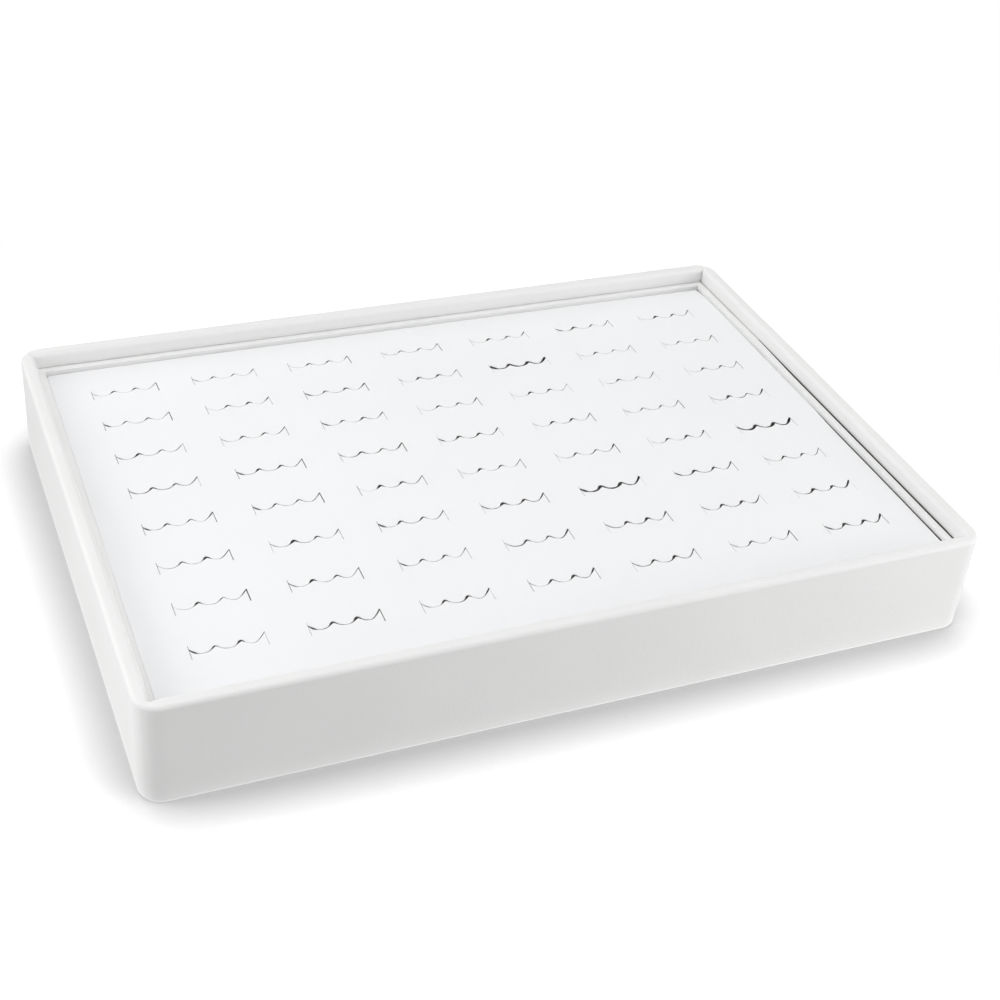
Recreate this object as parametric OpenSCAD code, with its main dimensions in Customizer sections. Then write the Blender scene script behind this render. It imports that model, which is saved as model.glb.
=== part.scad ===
// Ring tray: a board tray covered in leatherette, a liner frame inside its walls,
// and a crowned foam pad with rows of scalloped slits that grip the rings.
// The origin is the middle of the underside. X runs along the length, Y to the back, Z up.

/* [Tray] */
// Outside length, left to right
tray_l = 300; // [250:1:380]
// Outside width, front to back
tray_w = 212; // [180:1:280]
// Outside height
tray_h = 39; // [36:0.1:60]
// Radius of the four upright outer corners
corner_r = 8; // [6:0.5:11]
// Radius of the outer edge of the rim
rim_outer_r = 1.4; // [1.2:0.1:2.4]
// Radius of the inner edge of the rim
rim_inner_r = 1.2; // [1:0.1:1.8]
// Radius of the lower outer edge
foot_r = 1.4; // [1.2:0.1:3]
// Thickness of the wall boards
board_t = 3.8; // [3.4:0.1:6]
// Thickness of the base panel
base_t = 3; // [2:0.1:5]
// How far the base panel is let into the wall boards
rebate = 2; // [1:0.1:2.6]

/* [Leatherette cover] */
// Thickness of the cover on the walls
wrap_t = 0.7; // [0.4:0.1:0.9]
// How far the cover runs down the inside of the walls
turn_in = 14; // [8:0.5:20]
// How far the cover runs in under the tray
turn_under = 14; // [8:0.5:30]
// Gap round the lining sheet of the underside
lining_gap = 0.3; // [0.2:0.1:0.9]

/* [Liner frame] */
// Thickness of a liner strip
strip_t = 2.9; // [2:0.1:5]
// Depth of the strips' top below the rim
rim_drop = 5.5; // [4:0.1:9]
// Radius of the strips' top edges
strip_r = 0.4; // [0.3:0.1:0.9]
// Gap between the walls and the strips
strip_gap = 0.35; // [0.2:0.05:0.9]

/* [Ring pad] */
// Gap between the strips and the pad
pad_gap = 0.3; // [0.2:0.05:0.9]
// Height of the pad's crown above the strips
pad_rise = 0.7; // [0:0.1:2]
// Drop from the crown to the pad's edges
crown_drop = 2; // [1:0.1:4]
// Length over which the crown falls to the left and right edges
crown_run_l = 109; // [50:1:112]
// Length over which the crown falls to the front and back edges
crown_run_w = 75; // [40:1:78]
// Radius of the pad's rolled top edge
pad_edge_r = 1.2; // [1.2:0.1:4]
// Thickness of the pad's leatherette
cover_t = 0.8; // [0.4:0.1:1]
// How far the pad's leatherette runs in under the card
cover_turn = 12; // [6:0.5:25]
// Thickness of the backing card
card_t = 1.5; // [1:0.1:3]

/* [Slits] */
// Length of a slit between its end cuts
slit_l = 24.6; // [20:0.1:27]
// Width of the cut
slit_gap = 0.5; // [0.3:0.1:0.9]
// Depth of the cut below the crown
slit_depth = 16; // [8:0.5:20]
// Number of scallops in a slit
scallops = 3; // [2:1:3]
// How far a scallop bows to the front
scallop_bow = 2.5; // [1.5:0.1:3]
// Length of the straight cut at each end
end_cut = 6.6; // [4.5:0.1:8]
// How far the end cut runs behind the scallops
end_cut_back = 1.7; // [0.8:0.1:2.5]
// Distance between slits along a row
col_pitch = 38.4; // [34:0.1:60]
// Distance between rows
row_pitch = 22; // [14:0.1:40]
// Least bare margin between the slits and the pad's edge
slit_margin = 8; // [4:0.5:16]

/* [Hidden] */

// The sides of the tray, each a quarter turn on from the one before it
SIDES = ["front", "right", "back", "left"];

// Overlap that carries a cut clear of the face it opens
over = 1;
// Least radius left on a board's edge under the cover
least_r = 0.2;
// Flat strips that make each side of the crown, and the pad's rolled edge
crown_steps = 8;
roll_steps = 5;

// Upper faces of the layers, from the underside up
base_top = wrap_t + base_t;
card_low = base_top + cover_t;
card_top = card_low + card_t;
strip_top = tray_h - rim_drop;
crown_top = strip_top + pad_rise;

// Clear lengths and widths, from the walls inwards
rim_t = board_t + 2 * wrap_t;
strip_out_l = tray_l - 2 * (rim_t + strip_gap);
strip_out_w = tray_w - 2 * (rim_t + strip_gap);
strip_in_l = strip_out_l - 2 * strip_t;
strip_in_w = strip_out_w - 2 * strip_t;
pad_l = strip_in_l - 2 * pad_gap;
pad_w = strip_in_w - 2 * pad_gap;

// Slits that fit on the pad
cols = floor((pad_l - 2 * slit_margin - slit_l) / col_pitch) + 1;
rows = floor((pad_w - 2 * slit_margin - end_cut) / row_pitch) + 1;
scallop_w = slit_l / scallops;
scallop_r = (pow(scallop_w / 2, 2) + pow(scallop_bow, 2)) / (2 * scallop_bow);

$fn = 48;

// A flat section, drawn in width and height, that runs along X or along Y
module along_x(run) {
    rotate([90, 0, 90]) linear_extrude(height = run, center = true) children();
}
module along_y(run) {
    rotate([90, 0, 0]) linear_extrude(height = run, center = true) children();
}

// What a round corner takes off a square one at (x, z). up is 1 for a top corner, -1 for a low one
module corner_waste(x, z, r, up) {
    difference() {
        translate([x - r, up > 0 ? z - r : z - over]) square([r + over, r + over]);
        translate([x - r, z - up * r]) circle(r);
    }
}

// Half of a block's section, from its middle out to a side with rounded top and foot
module side_profile(reach, z0, z1, top_r, low_r) {
    difference() {
        translate([0, z0]) square([reach, z1 - z0]);
        corner_waste(reach, z1, top_r, 1);
        corner_waste(reach, z0, low_r, -1);
    }
}

module whole_profile(width, z0, z1, top_r, low_r) {
    side_profile(width / 2, z0, z1, top_r, low_r);
    mirror([1, 0]) side_profile(width / 2, z0, z1, top_r, low_r);
}

// A block with round upright corners, whose top and foot edges are rounded all the way round
module soft_block(l, w, z0, z1, plan_r, top_r, low_r) {
    for (x = [-1, 1], y = [-1, 1])
        translate([x * (l / 2 - plan_r), y * (w / 2 - plan_r), 0])
            rotate_extrude() side_profile(plan_r, z0, z1, top_r, low_r);
    along_x(l - 2 * plan_r) whole_profile(w, z0, z1, top_r, low_r);
    along_y(w - 2 * plan_r) whole_profile(l, z0, z1, top_r, low_r);
}

// Section of a well whose mouth at z1 is eased by a lip radius
module well_profile(width, z0, z1, lip_r) {
    half = width / 2;
    difference() {
        union() {
            translate([-half, z0]) square([width, z1 - z0 + over]);
            translate([-half - lip_r, z1 - lip_r]) square([width + 2 * lip_r, lip_r + over]);
        }
        for (side = [-1, 1])
            translate([side * (half + lip_r), z1 - lip_r]) circle(lip_r);
    }
}

module well(l, w, z0, z1, lip_r) {
    intersection() {
        along_x(l + 4 * lip_r) well_profile(w, z0, z1, lip_r);
        along_y(w + 4 * lip_r) well_profile(l, z0, z1, lip_r);
    }
}

module slab(l, w, z0, z1) {
    translate([-l / 2, -w / 2, z0]) cube([l, w, z1 - z0]);
}

// A slab with round upright corners
module round_slab(l, w, z0, z1, r) {
    slab(l - 2 * r, w, z0, z1);
    slab(l, w - 2 * r, z0, z1);
    for (x = [-1, 1], y = [-1, 1])
        translate([x * (l / 2 - r), y * (w / 2 - r), z0]) cylinder(h = z1 - z0, r = r);
}

// Keeps one side of a frame of l by w, cut at 45 degrees through its corners
module mitred(l, w, side) {
    turns = search([side], SIDES)[0];
    run = turns % 2 == 0 ? l : w;
    across = turns % 2 == 0 ? w : l;
    depth = across / 3;
    intersection() {
        children();
        rotate([0, 0, 90 * turns]) translate([0, 0, -over]) linear_extrude(height = tray_h + 2 * over)
            polygon([[-run / 2 - over, -across / 2 - over], [run / 2 + over, -across / 2 - over],
                     [run / 2 - depth, -across / 2 + depth], [-run / 2 + depth, -across / 2 + depth]]);
    }
}

// The four wall boards before they are mitred, with no rebate
module board_ring() {
    difference() {
        soft_block(tray_l - 2 * wrap_t, tray_w - 2 * wrap_t, wrap_t, tray_h - wrap_t, corner_r - wrap_t,
                   max(least_r, rim_outer_r - wrap_t), max(least_r, foot_r - wrap_t));
        well(tray_l - 2 * (wrap_t + board_t), tray_w - 2 * (wrap_t + board_t), -over, tray_h - wrap_t,
             max(least_r, rim_inner_r - wrap_t));
    }
}

module wall_board(side) {
    color("burlywood") mitred(tray_l, tray_w, side) difference() {
        board_ring();
        base_block();
    }
}

// The base panel's corners follow the tray's, so that the boards close round them
module base_block() {
    inset = wrap_t + board_t - rebate;
    round_slab(tray_l - 2 * inset, tray_w - 2 * inset, wrap_t, base_top, corner_r - inset);
}

module base_panel() {
    color("peru") base_block();
}

// One skin over the outside, the rim, the upper inside and the border of the underside
module outer_wrap() {
    color("whitesmoke") difference() {
        soft_block(tray_l, tray_w, 0, tray_h, corner_r, rim_outer_r, foot_r);
        board_ring();
        well(tray_l - 2 * rim_t, tray_w - 2 * rim_t, base_top, tray_h, rim_inner_r);
        slab(tray_l - 2 * (wrap_t + board_t), tray_w - 2 * (wrap_t + board_t), wrap_t, tray_h - turn_in);
        slab(tray_l - 2 * turn_under, tray_w - 2 * turn_under, -over, base_top);
    }
}

module underside_lining() {
    inset = turn_under + lining_gap;
    color("lightgray") slab(tray_l - 2 * inset, tray_w - 2 * inset, 0, wrap_t);
}

// The liner frame before it is mitred into its four strips
module strip_ring() {
    difference() {
        intersection() {
            along_x(strip_out_l) whole_profile(strip_out_w, base_top, strip_top, strip_r, least_r);
            along_y(strip_out_w) whole_profile(strip_out_l, base_top, strip_top, strip_r, least_r);
        }
        well(strip_in_l, strip_in_w, -over, strip_top, strip_r);
    }
}

module liner_strip(side) {
    color("white") mitred(strip_out_l, strip_out_w, side) strip_ring();
}

// Height of the pad's surface at a distance in from a side, where the crown takes run to level out
function crown_z(in_from_side, run) = crown_top - crown_drop * pow(1 - min(in_from_side / run, 1), 2);

// Right half of the pad's section, from its middle out: the crown, the rolled edge, the upright side.
// inset draws the section of what the leatherette covers
function pad_half(half, run, z0, inset) =
    let(roll_x = half - pad_edge_r, roll_z = crown_z(pad_edge_r, run) - pad_edge_r, r = pad_edge_r - inset)
    concat([for (i = [0 : crown_steps])
                let(x = half - run + (run - pad_edge_r) * i / crown_steps)
                [x, crown_z(half - x, run) - inset]],
           [for (i = [roll_steps - 1 : -1 : 0])
                let(turn = 90 * i / roll_steps)
                [roll_x + r * cos(turn), roll_z + r * sin(turn)]],
           [[half - inset, z0]]);

module pad_profile(width, run, z0, inset) {
    right = pad_half(width / 2, run, z0, inset);
    left = [for (i = [len(right) - 1 : -1 : 0]) [-right[i][0], right[i][1]]];
    polygon(concat(right, left));
}

module pad_block(z0, inset) {
    intersection() {
        along_x(pad_l - 2 * inset) pad_profile(pad_w, crown_run_w, z0, inset);
        along_y(pad_w - 2 * inset) pad_profile(pad_l, crown_run_l, z0, inset);
    }
}

// Plan of one slit: a straight cut at each end, joined by scallops that bow to the front
module slit_plan() {
    baseline = end_cut / 2 - end_cut_back;
    for (side = [-1, 1])
        translate([side * slit_l / 2 - slit_gap / 2, -end_cut / 2]) square([slit_gap, end_cut]);
    for (i = [0 : scallops - 1])
        translate([(i + 0.5) * scallop_w - slit_l / 2, baseline])
            intersection() {
                translate([-scallop_w / 2, -scallop_bow - slit_gap]) square([scallop_w, scallop_bow + slit_gap]);
                translate([0, scallop_r - scallop_bow]) difference() {
                    circle(scallop_r + slit_gap / 2);
                    circle(scallop_r - slit_gap / 2);
                }
            }
}

module slits() {
    for (c = [0 : cols - 1], r = [0 : rows - 1])
        translate([(c - (cols - 1) / 2) * col_pitch, (r - (rows - 1) / 2) * row_pitch, crown_top - slit_depth])
            linear_extrude(height = slit_depth + over) slit_plan();
}

module pad_card() {
    color("tan") slab(pad_l - 2 * cover_t, pad_w - 2 * cover_t, card_low, card_top);
}

module pad_foam() {
    color("gainsboro") difference() {
        pad_block(card_top, cover_t);
        slits();
    }
}

module pad_cover() {
    color("snow") difference() {
        pad_block(base_top, 0);
        pad_block(card_low, cover_t);
        slab(pad_l - 2 * cover_turn, pad_w - 2 * cover_turn, base_top - over, card_top);
        slits();
    }
}

outer_wrap();
wall_board("front");  // front_board
wall_board("back");  // back_board
wall_board("left");  // left_board
wall_board("right");  // right_board
base_panel();
underside_lining();
liner_strip("front");  // liner_front
liner_strip("back");  // liner_back
liner_strip("left");  // liner_left
liner_strip("right");  // liner_right
pad_card();
pad_foam();
pad_cover();
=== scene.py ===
"""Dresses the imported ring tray: leatherette cover, liner frame, slit foam pad, studio."""

import math
import random

import bpy
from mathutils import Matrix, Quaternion, Vector, noise
from mathutils.bvhtree import BVHTree


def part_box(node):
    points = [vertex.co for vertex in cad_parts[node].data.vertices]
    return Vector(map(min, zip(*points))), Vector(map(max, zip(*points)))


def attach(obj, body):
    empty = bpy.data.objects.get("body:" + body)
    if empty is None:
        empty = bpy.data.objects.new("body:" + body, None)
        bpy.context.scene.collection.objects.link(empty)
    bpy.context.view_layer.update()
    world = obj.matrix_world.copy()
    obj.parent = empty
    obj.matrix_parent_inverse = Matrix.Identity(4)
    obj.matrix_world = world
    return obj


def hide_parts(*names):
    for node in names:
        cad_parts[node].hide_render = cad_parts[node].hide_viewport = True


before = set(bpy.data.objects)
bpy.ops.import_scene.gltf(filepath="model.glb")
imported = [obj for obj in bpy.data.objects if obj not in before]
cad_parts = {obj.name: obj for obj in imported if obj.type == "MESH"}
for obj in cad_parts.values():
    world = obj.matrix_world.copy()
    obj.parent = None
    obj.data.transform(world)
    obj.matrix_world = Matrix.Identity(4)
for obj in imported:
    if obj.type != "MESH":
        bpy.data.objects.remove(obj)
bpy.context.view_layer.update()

bl_info = {
    "name": "Ring tray",
    "version": (1, 0, 0),
    "blender": (4, 5, 0),
    "location": "View3D > Sidebar > Ring tray",
    "description": "Builds a leatherette ring tray with a slit foam pad around its packed model",
    "category": "Object",
}

BODY = "root"
MM = 0.001
X, Y, Z = 0, 1, 2

TRAY_LOW, TRAY_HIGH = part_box("outer_wrap")
PAD_LOW, PAD_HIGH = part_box("pad_cover")
STRIP_BOXES = {side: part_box("liner_" + side) for side in ("front", "back", "left", "right")}
STRIP_TOP = STRIP_BOXES["front"][1].z
BASE_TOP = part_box("base_panel")[1].z

# Places closer than SAME count as one place, and points closer than WELD are merged
SAME = 0.01 * MM
WELD = 0.02 * MM
ON_CORNER_LINE = 0.05 * MM

# A face that points up or down has at least this share of its normal upright
LEVEL_NORMAL = 0.99

# Top and back end of the painted shade, a nearly black band on the wall behind the right strip that darkens
# the gap there
GAP_SHADE_TOP = STRIP_TOP - 0.1 * MM
GAP_SHADE_BACK = 50 * MM

# The part of a noise pattern's range that is used
NOISE_SPAN = (0.3, 0.7)

# Half the size of the crown's level middle, and how squarely it turns down to the sides
CROWN_LEVEL = (32 * MM, 22 * MM)
CROWN_POWER = 6

SWELL_FRAMES = 20
SWELL_CLOTH = {
    "quality": 6,
    "mass": 0.3,
    "tension_stiffness": 15,
    "compression_stiffness": 15,
    "bending_stiffness": 2,
    "vertex_group_mass": "held",
    "use_pressure": True,
    "uniform_pressure_force": 4,
}

# The slits: scallops in each, points along a scallop and an end cut, and the blades that cut them
SCALLOPS = 3
SCALLOP_POINTS = 16
END_POINTS = 7
BLADE_LIP = 0.2 * MM
BLADE_FLARE = 0.05 * MM
BLADE_ABOVE = 3 * MM
SLIT_SEED = 7

# Half widths of the slits in millimetres: along them, where they open, and at the two end cuts
GAPING_SHARE = 0.05
GAPING_WIDTH = 0.36
CLOSED_WIDTH = (0.08, 0.18)
LEFT_END_WIDTHS = (0.02, 0.1, 0.32)
LEFT_CUSP_WIDTH = (0.24, 0.52)
RIGHT_CUSP_WIDTH = (0.12, 0.48)
RIGHT_END_WIDTHS = (0.02, 0.05, 0.14)
PEAK_SPREAD = 0.12
END_CUT_WIDTH = {-1: (0.03, 0.08), 1: (0.03, 0.17)}

# Each hidden finish: the nodes that have it, its light and dark colour, and its length of fibre
WALLS = ("front_board", "back_board", "left_board", "right_board")
BOARD_FINISHES = {
    "wall_board": (WALLS, (0.62, 0.48, 0.33), (0.5, 0.37, 0.24), 0.5 * MM),
    "base_board": (("base_panel",), (0.5, 0.37, 0.25), (0.38, 0.27, 0.18), 0.5 * MM),
    "backing_card": (("pad_card",), (0.7, 0.62, 0.5), (0.6, 0.53, 0.43), 0.4 * MM),
    "lining_paper": (("underside_lining",), (0.86, 0.86, 0.85), (0.8, 0.8, 0.79), 0.3 * MM),
}

CAMERA_PLACE = Vector((-0.2123, -0.4728, 0.3838))
CAMERA_AIM = Vector((-0.0072, -0.0358, 0.0386))
CAMERA_ROLL = math.radians(5.41)
CAMERA_SENSOR = 36
CAMERA_LENS = 60.87

# Each softbox: where it stands, what it is turned to, its width and height
SOFTBOXES = {
    "top": ((0, 0, 1.5), (0, 0, 0), (1.6, 1.6)),
    "left": ((-1.1, 0.1, 0.5), (0, 0, 0), (0.9, 0.9)),
    "near": ((-0.36, -0.1, 0.12), (-0.15, -0.1, 0.02), (0.1, 0.1)),
    "back": ((0, 1.2, 0.7), (0, 0, 0), (1.4, 0.8)),
    "right": ((1.1, 0, 0.7), (0, 0, 0), (0.9, 0.9)),
    "front": ((0.55, -0.62, 0.25), (0.05, -0.1, 0.02), (0.5, 0.4)),
    "low": ((0.3, -0.4, 0.1), (0.1, -0.1, 0.02), (0.3, 0.15)),
}

# The floor lies a little below the tray, so that their faces don't meet. It goes over to plain white
# between two distances from the tray's middle
FLOOR_SIZE = 8
FLOOR_DROP = 0.2 * MM
FLOOR_FADE = (0.2, 0.3)
FLOOR_GLOW = 0.2
# Painted bounce light: the floor glows onto the tray, with the first strength far off and the second beside
# the tray's foot, which it lights more
FLOOR_BOUNCE = (0.7, 1)

# The contact shadow: its reach, its samples, and the openness that it maps to shade
CONTACT_REACH = 0.03
CONTACT_SAMPLES = 16
CONTACT_OPEN = (0.5, 0.97)
CONTACT_SHADE = (0.5, 1)


def length(name, description, default):
    """A size that a user can change, in metres."""
    return bpy.props.FloatProperty(
        name=name, description=description, default=default, min=0, unit="LENGTH", precision=5)


def colour(name, description, default):
    """A colour that a user can change."""
    return bpy.props.FloatVectorProperty(
        name=name, description=description, default=default, size=3, min=0, max=1, subtype="COLOR")


def power(name, description, default):
    """The power of a lamp."""
    return bpy.props.FloatProperty(
        name=name, description=description, default=default, min=0, unit="POWER")


class CoverSettings(bpy.types.PropertyGroup):
    """Sizes and colours of the leatherette cover."""

    skin: length("Thickness", "Thickness of the leatherette", 0.7 * MM)
    corner_r: length("Corner radius", "Radius of the upright outer corners", 8 * MM)
    rim_t: length("Rim", "Width of the rim with its cover", 5.2 * MM)
    outer_r: length("Outer rim radius", "Radius of the rim's outer edge", 1.4 * MM)
    inner_r: length("Inner rim radius", "Radius of the rim's inner edge", 1.7 * MM)
    foot_r: length("Foot radius", "Radius of the lower outer edge", 0.9 * MM)
    turn_in: length("Turn-in", "How far the cover runs down inside the walls", 14 * MM)
    turn_under: length("Turn-under", "How far the cover runs in under the tray", 14 * MM)
    slack: length("Slack", "How far the leatherette lifts off the boards in its slow waves", 0.2 * MM)
    fold: length("Folds", "Height of the small folds that gather at the inner corners", 0.7 * MM)
    crease: length("Crease", "Depth of the crease in each inner corner", 0.45 * MM)
    tint: colour("Colour", "Colour of the leatherette", (0.865, 0.865, 0.86))
    # Painted light: the leatherette inside the rim is coloured lighter, to stand for the inner walls being
    # lit more
    inside_light_tint: colour(
        "Inside", "Colour of the leatherette inside the rim, where it is handled less", (0.885, 0.885, 0.88))
    # Painted highlight: the lower outer edge is coloured lighter, to stand for the floor's light caught by
    # the rounded foot
    foot_highlight_tint: colour(
        "Worn foot", "Colour of the leatherette along the lower edge, where it is worn light",
        (0.98, 0.98, 0.975))
    # Painted shade: the wall behind the right strip is coloured nearly black, to darken the gap there
    gap_shade_tint: colour("Glue line", "Colour of the glued edge behind the right strip", (0.2, 0.19, 0.18))


class LinerSettings(bpy.types.PropertyGroup):
    """Sizes and colours of the liner frame."""

    edge_r: length("Edge radius", "Radius of the strips' top edges", 0.22 * MM)
    wander: length("Wander", "How far the strips bend out of line", 0.1 * MM)
    covered: length("Covered", "Height of the covered part of the right strip's inner side", 2 * MM)
    lap: length("Lap", "How far the covering laps over the right strip's outer side", 0.3 * MM)
    gape: length("Gape", "How far the right strip stands off its wall in front", 0.6 * MM)
    closed: length("Closed", "How far the right strip leans to its wall at the back", 0.1 * MM)
    sag: length("Sag", "How much lower the strips lie at the back", 0.45 * MM)
    taper: length("Taper", "How much thinner the left strip gets to its front end", 1.2 * MM)
    tint: colour("Colour", "Colour of the strips' leatherette", (0.85, 0.85, 0.845))
    # The bare card is real, but its nearly black colour is painted shade for the gap beside the right strip
    card_shade_tint: colour("Card", "Colour of the bare card below the leatherette", (0.22, 0.21, 0.2))


class PadSettings(bpy.types.PropertyGroup):
    """Sizes and colours of the foam pad and its slits."""

    cell: length("Cell", "Size of the cells that are simulated", 4 * MM)
    crown: length("Crown", "Drop of the cut foam from its middle to each side", 1.25 * MM)
    swell: length("Swell", "Most that the cover may swell under pressure", 0.75 * MM)
    edge_r: length("Edge radius", "Radius of the rolled upper edge", 1.2 * MM)
    columns: bpy.props.IntProperty(name="Columns", description="Slits in a row", default=7, min=1)
    rows: bpy.props.IntProperty(name="Rows", description="Rows of slits", default=8, min=1)
    column_pitch: length("Column pitch", "Distance between slits along a row", 38.4 * MM)
    row_pitch: length("Row pitch", "Distance between rows", 22 * MM)
    slit_l: length("Slit length", "Length of a slit between its end cuts", 24.6 * MM)
    bow: length("Scallop bow", "How far a scallop bows to the front", 2.9 * MM)
    end_cut: length("End cut", "Length of the straight cut at each end", 6.6 * MM)
    end_back: length("End cut behind", "How far the end cut runs behind the scallops", 1.7 * MM)
    depth: length("Depth", "Depth of the cuts", 12 * MM)
    tint: colour("Colour", "Colour of the pad's leatherette", (0.92, 0.925, 0.935))
    # Painted shade: the cut foam is coloured nearly black, so that the slits look dark
    foam_shade_tint: colour("Foam", "Colour of the cut foam", (0.16, 0.155, 0.15))


class StageSettings(bpy.types.PropertyGroup):
    """Light of the studio."""

    top_power: power("Top light", "Power of the softbox overhead", 14.8)
    left_power: power("Left light", "Power of the softbox at the left", 6.3)
    near_power: power("Near light", "Power of the small softbox beside the left wall", 0.11)
    back_power: power("Back light", "Power of the softbox behind", 5.6)
    right_power: power("Right light", "Power of the softbox at the right", 1.1)
    front_power: power("Front light", "Power of the softbox at the front right", 2.45)
    low_power: power("Low light", "Power of the small softbox near the floor at the front right", 0.28)
    ambient: bpy.props.FloatProperty(
        name="Ambient", description="Strength of the even light from the room", default=0.1, min=0)


# Edit mode


def edit_mode():
    """Turns edit mode on."""
    bpy.ops.object.mode_set(mode="EDIT")


def object_mode():
    """Turns edit mode off."""
    bpy.ops.object.mode_set(mode="OBJECT")


def only(piece):
    """Selects one piece alone."""
    bpy.ops.object.select_all(action="DESELECT")
    piece.select_set(True)
    bpy.context.view_layer.objects.active = piece


def add_block(name, low, high):
    """A cube primitive stretched between two corners, alone selected, with its place in its mesh."""
    bpy.ops.object.select_all(action="DESELECT")
    bpy.ops.mesh.primitive_cube_add(size=1, location=(low + high) / 2)
    piece = bpy.context.object
    piece.name = piece.data.name = name
    piece.scale = high - low
    bpy.ops.object.transform_apply(location=True, rotation=True, scale=True)
    return piece


def pick(piece, kind, test):
    """Selects the points, edges or faces for which test holds, and leaves edit mode on."""
    edit_mode()
    bpy.ops.mesh.select_mode(type=kind)
    bpy.ops.mesh.select_all(action="DESELECT")
    object_mode()
    mesh = piece.data
    items = {"VERT": mesh.vertices, "EDGE": mesh.edges, "FACE": mesh.polygons}[kind]
    found = [item for item in items if test(mesh, item)]
    if not found:
        raise RuntimeError(f"nothing to select on {piece.name}")
    for item in found:
        item.select = True
    edit_mode()


def edge_ends(mesh, edge):
    """The places of an edge's two ends."""
    return [mesh.vertices[i].co for i in edge.vertices]


def is_upright(mesh, edge):
    """True for the upright edges of a block."""
    a, b = edge_ends(mesh, edge)
    return abs(a.z - b.z) > 1 * MM


def round_edges(piece, test, radius, segments, **values):
    """Rounds the edges for which test holds, and leaves edit mode on."""
    pick(piece, "EDGE", test)
    bpy.ops.mesh.bevel(offset=radius, segments=segments, affect="EDGES", **values)


def slice_across(axis, places):
    """In edit mode, cuts the whole piece at each place along an axis."""
    normal = [0, 0, 0]
    normal[axis] = 1
    for place in places:
        point = [0, 0, 0]
        point[axis] = place
        bpy.ops.mesh.select_all(action="SELECT")
        bpy.ops.mesh.bisect(plane_co=point, plane_no=normal)


def weld():
    """In edit mode, merges the points that lie at one place."""
    bpy.ops.mesh.select_all(action="SELECT")
    bpy.ops.mesh.remove_doubles(threshold=WELD)


def steps(low, high, step):
    """Even places between low and high, about one step apart, without the two ends."""
    count = max(1, round((high - low) / step))
    return [low + (high - low) * i / count for i in range(1, count)]


def ease(value, low, high):
    """Goes softly from 0 at low to 1 at high."""
    share = min(1, max(0, (value - low) / (high - low)))
    return share * share * (3 - 2 * share)


def apply_modifier(piece, kind, **values):
    """Adds a modifier with its values and applies it."""
    only(piece)
    modifier = piece.modifiers.new(kind.title(), kind)
    for key, value in values.items():
        setattr(modifier, key, value)
    bpy.ops.object.modifier_apply(modifier=modifier.name)


def shade_smooth(piece, degrees):
    """Shades a piece smooth, apart from edges that turn by more than an angle."""
    only(piece)
    bpy.ops.object.shade_smooth_by_angle(angle=math.radians(degrees))


# Materials


def give(piece, *materials):
    """Gives a piece its materials, in the order of their numbers."""
    piece.data.materials.clear()
    for material in materials:
        piece.data.materials.append(material)


def add_node(owner, kind, *sources, **values):
    """Adds a shader node to a material or the world, and links sources to its inputs in their order."""
    node = owner.node_tree.nodes.new("ShaderNode" + kind)
    for key, value in values.items():
        setattr(node, key, value)
    for source, socket in zip(sources, node.inputs):
        owner.node_tree.links.new(source, socket)
    return node


def empty_material(name):
    """A node material without nodes."""
    material = bpy.data.materials.new(name)
    material.use_nodes = True
    material.node_tree.nodes.clear()
    return material


def new_material(name):
    """A material with one shader, that shader, and the socket that gives places on the piece."""
    material = empty_material(name)
    shader = add_node(material, "BsdfPrincipled")
    add_node(material, "OutputMaterial", shader.outputs[0])
    return material, shader, add_node(material, "TexCoord").outputs["Object"]


def link_surface(material, shader, tint, roughness, normal):
    """Links the sockets that give a shader its colour, roughness and relief."""
    link = material.node_tree.links.new
    link(tint, shader.inputs["Base Color"])
    link(roughness, shader.inputs["Roughness"])
    link(normal, shader.inputs["Normal"])


def add_noise(material, place, scale, detail=2.0, roughness=0.5):
    """A noise pattern of so many waves to the metre."""
    node = add_node(material, "TexNoise", place)
    node.inputs["Scale"].default_value = scale
    node.inputs["Detail"].default_value = detail
    node.inputs["Roughness"].default_value = roughness
    return node.outputs["Fac"]


def add_cells(material, place, scale, smoothness=0.6):
    """A pattern of soft round cells, so many to the metre."""
    node = add_node(material, "TexVoronoi", place, feature="SMOOTH_F1")
    node.inputs["Scale"].default_value = scale
    node.inputs["Smoothness"].default_value = smoothness
    return node.outputs["Distance"]


def add_range(material, value, given, wanted=(0, 1), shape="LINEAR"):
    """Maps values from one range to another, and holds them at its ends."""
    node = add_node(material, "MapRange", value, interpolation_type=shape)
    for socket, number in zip(("From Min", "From Max", "To Min", "To Max"), (*given, *wanted)):
        node.inputs[socket].default_value = number
    return node.outputs["Result"]


def soft_step(material, value, start, end):
    """Goes softly from 0 where value is at start to 1 at end."""
    return add_range(material, value, (start, end), shape="SMOOTHSTEP")


def blend_colours(material, factor, first, second):
    """Goes from one colour to another by a factor."""
    node = add_node(material, "Mix", data_type="RGBA")
    node.inputs["A"].default_value = (*first, 1)
    node.inputs["B"].default_value = (*second, 1)
    material.node_tree.links.new(factor, node.inputs["Factor"])
    return node.outputs["Result"]


def patched_colours(material, pattern, first, second):
    """Goes from one colour to another over a noise pattern."""
    return blend_colours(material, add_range(material, pattern, NOISE_SPAN), first, second)


def add_bump(material, height, distance, strength, below=None):
    """Relief from a height pattern, on top of the relief below it."""
    node = add_node(material, "Bump")
    node.inputs["Distance"].default_value = distance
    node.inputs["Strength"].default_value = strength
    material.node_tree.links.new(height, node.inputs["Height"])
    if below is not None:
        material.node_tree.links.new(below, node.inputs["Normal"])
    return node.outputs["Normal"]


def shaded(tint, share):
    """A colour darkened to a share of its lightness."""
    return tuple(channel * share for channel in tint)


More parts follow.
